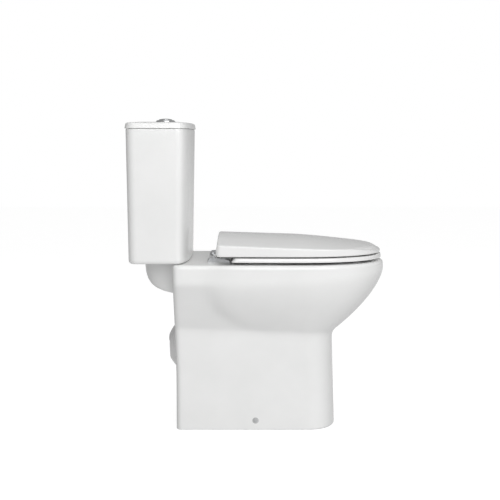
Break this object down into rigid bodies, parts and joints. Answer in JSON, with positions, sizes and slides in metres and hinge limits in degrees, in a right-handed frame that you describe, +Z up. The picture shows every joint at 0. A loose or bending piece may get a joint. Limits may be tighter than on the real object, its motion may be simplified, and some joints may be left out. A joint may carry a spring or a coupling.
{
  "type": "close coupled toilet",
  "caption": "Close coupled toilet: ceramic pan with square foot and bulging bowl, bowed cistern with dual flush button, and soft-close D-shaped seat and wedge lid.",
  "frame": {"origin": "centre of the footprint box on the floor", "axes": "+X towards the front of the bowl, +Y across, +Z up"},
  "size_m": [0.6084, 0.368, 0.737],
  "materials": {
    "ceramic": "glossy white vitreous glaze",
    "seat_plastic": "glossy white moulded thermoset",
    "chrome": "polished",
    "chromed_plastic": "chrome plated plastic",
    "steel": "zinc plated",
    "brass": "plain",
    "rubber": "matt",
    "seal_rubber": "matt red silicone",
    "valve_plastic": "satin",
    "valve_blue": "satin",
    "float_plastic": "satin",
    "cap_plastic": "satin grey",
    "damper_plastic": "satin",
    "bumper_rubber": "soft translucent white"
  },
  "bodies": {
    "pan": {"pan": "ceramic", "cistern_tank": "ceramic", "flush_valve_base": "valve_plastic", "flush_valve_tower": "valve_blue", "flush_valve_washer": "rubber", "flush_valve_backnut": "valve_plastic", "coupling_gasket": "rubber", "cistern_bolts": "brass", "bolt_washers": "rubber", "cistern_pads": "rubber", "cistern_wing_nuts": "brass", "fill_valve_body": "valve_plastic", "fill_valve_washer": "rubber", "fill_valve_backnut": "valve_plastic", "fill_valve_head": "valve_plastic", "hinge_bases": "chrome", "hinge_pins": "steel", "hinge_studs": "steel", "hinge_cone_washers": "rubber", "hinge_wing_nuts": "valve_plastic", "fixing_brackets": "valve_plastic", "fixing_screws": "steel", "fixing_caps": "cap_plastic"},
    "lid": {"cistern_lid": "ceramic", "button_bezel": "chromed_plastic", "button_backnut": "valve_plastic", "full_button_spring": "steel", "half_button_spring": "steel"},
    "full_button": {"full_flush_button": "chromed_plastic", "full_flush_rod": "valve_plastic"},
    "half_button": {"half_flush_button": "chromed_plastic", "half_flush_rod": "valve_plastic"},
    "piston": {"flush_piston": "valve_plastic", "flush_seal": "seal_rubber"},
    "float": {"fill_float": "float_plastic"},
    "lever": {"fill_lever": "valve_plastic"},
    "seat": {"seat_ring": "seat_plastic", "seat_bumpers": "bumper_rubber", "seat_dampers": "damper_plastic"},
    "seat_lid": {"seat_lid": "seat_plastic", "lid_bumpers": "bumper_rubber", "lid_dampers": "damper_plastic"}
  },
  "joints": [
    {"name": "seat_hinge", "type": "hinge", "parent": "pan", "child": "seat", "pos_m": [-0.093, 0, 0.415], "axis": [0, -1, 0], "range_deg": [0, 93]},
    {"name": "seat_lid_hinge", "type": "hinge", "parent": "seat", "child": "seat_lid", "pos_m": [-0.093, 0, 0.415], "axis": [0, 1, 0], "range_deg": [-93, 0]},
    {"name": "cistern_lid_lift", "type": "slide", "parent": "pan", "child": "lid", "axis": [0, 0, 1], "range_m": [0, 0.08]},
    {"name": "full_flush_press", "type": "slide", "parent": "lid", "child": "full_button", "axis": [0, 0, -1], "range_m": [0, 0.006], "stiffness_N_per_m": 500, "springref_m": -0.006, "deforming": ["full_button_spring"]},
    {"name": "half_flush_press", "type": "slide", "parent": "lid", "child": "half_button", "axis": [0, 0, -1], "range_m": [0, 0.006], "stiffness_N_per_m": 500, "springref_m": -0.006, "deforming": ["half_button_spring"]},
    {"name": "flush_piston_lift", "type": "slide", "parent": "pan", "child": "piston", "axis": [0, 0, 1], "range_m": [0, 0.012]},
    {"name": "float_rise", "type": "slide", "parent": "pan", "child": "float", "axis": [0, 0, 1], "range_m": [0, 0.008]},
    {"name": "fill_lever_turn", "type": "hinge", "parent": "pan", "child": "lever", "pos_m": [-0.214, 0.118, 0.655], "axis": [0, -1, 0], "range_deg": [0, 18]}
  ],
  "couplings": [
    {"joint": "flush_piston_lift", "follows": "full_flush_press", "ratio": 2},
    {"joint": "fill_lever_turn", "follows": "float_rise", "rad_per_m": 39}
  ]
}
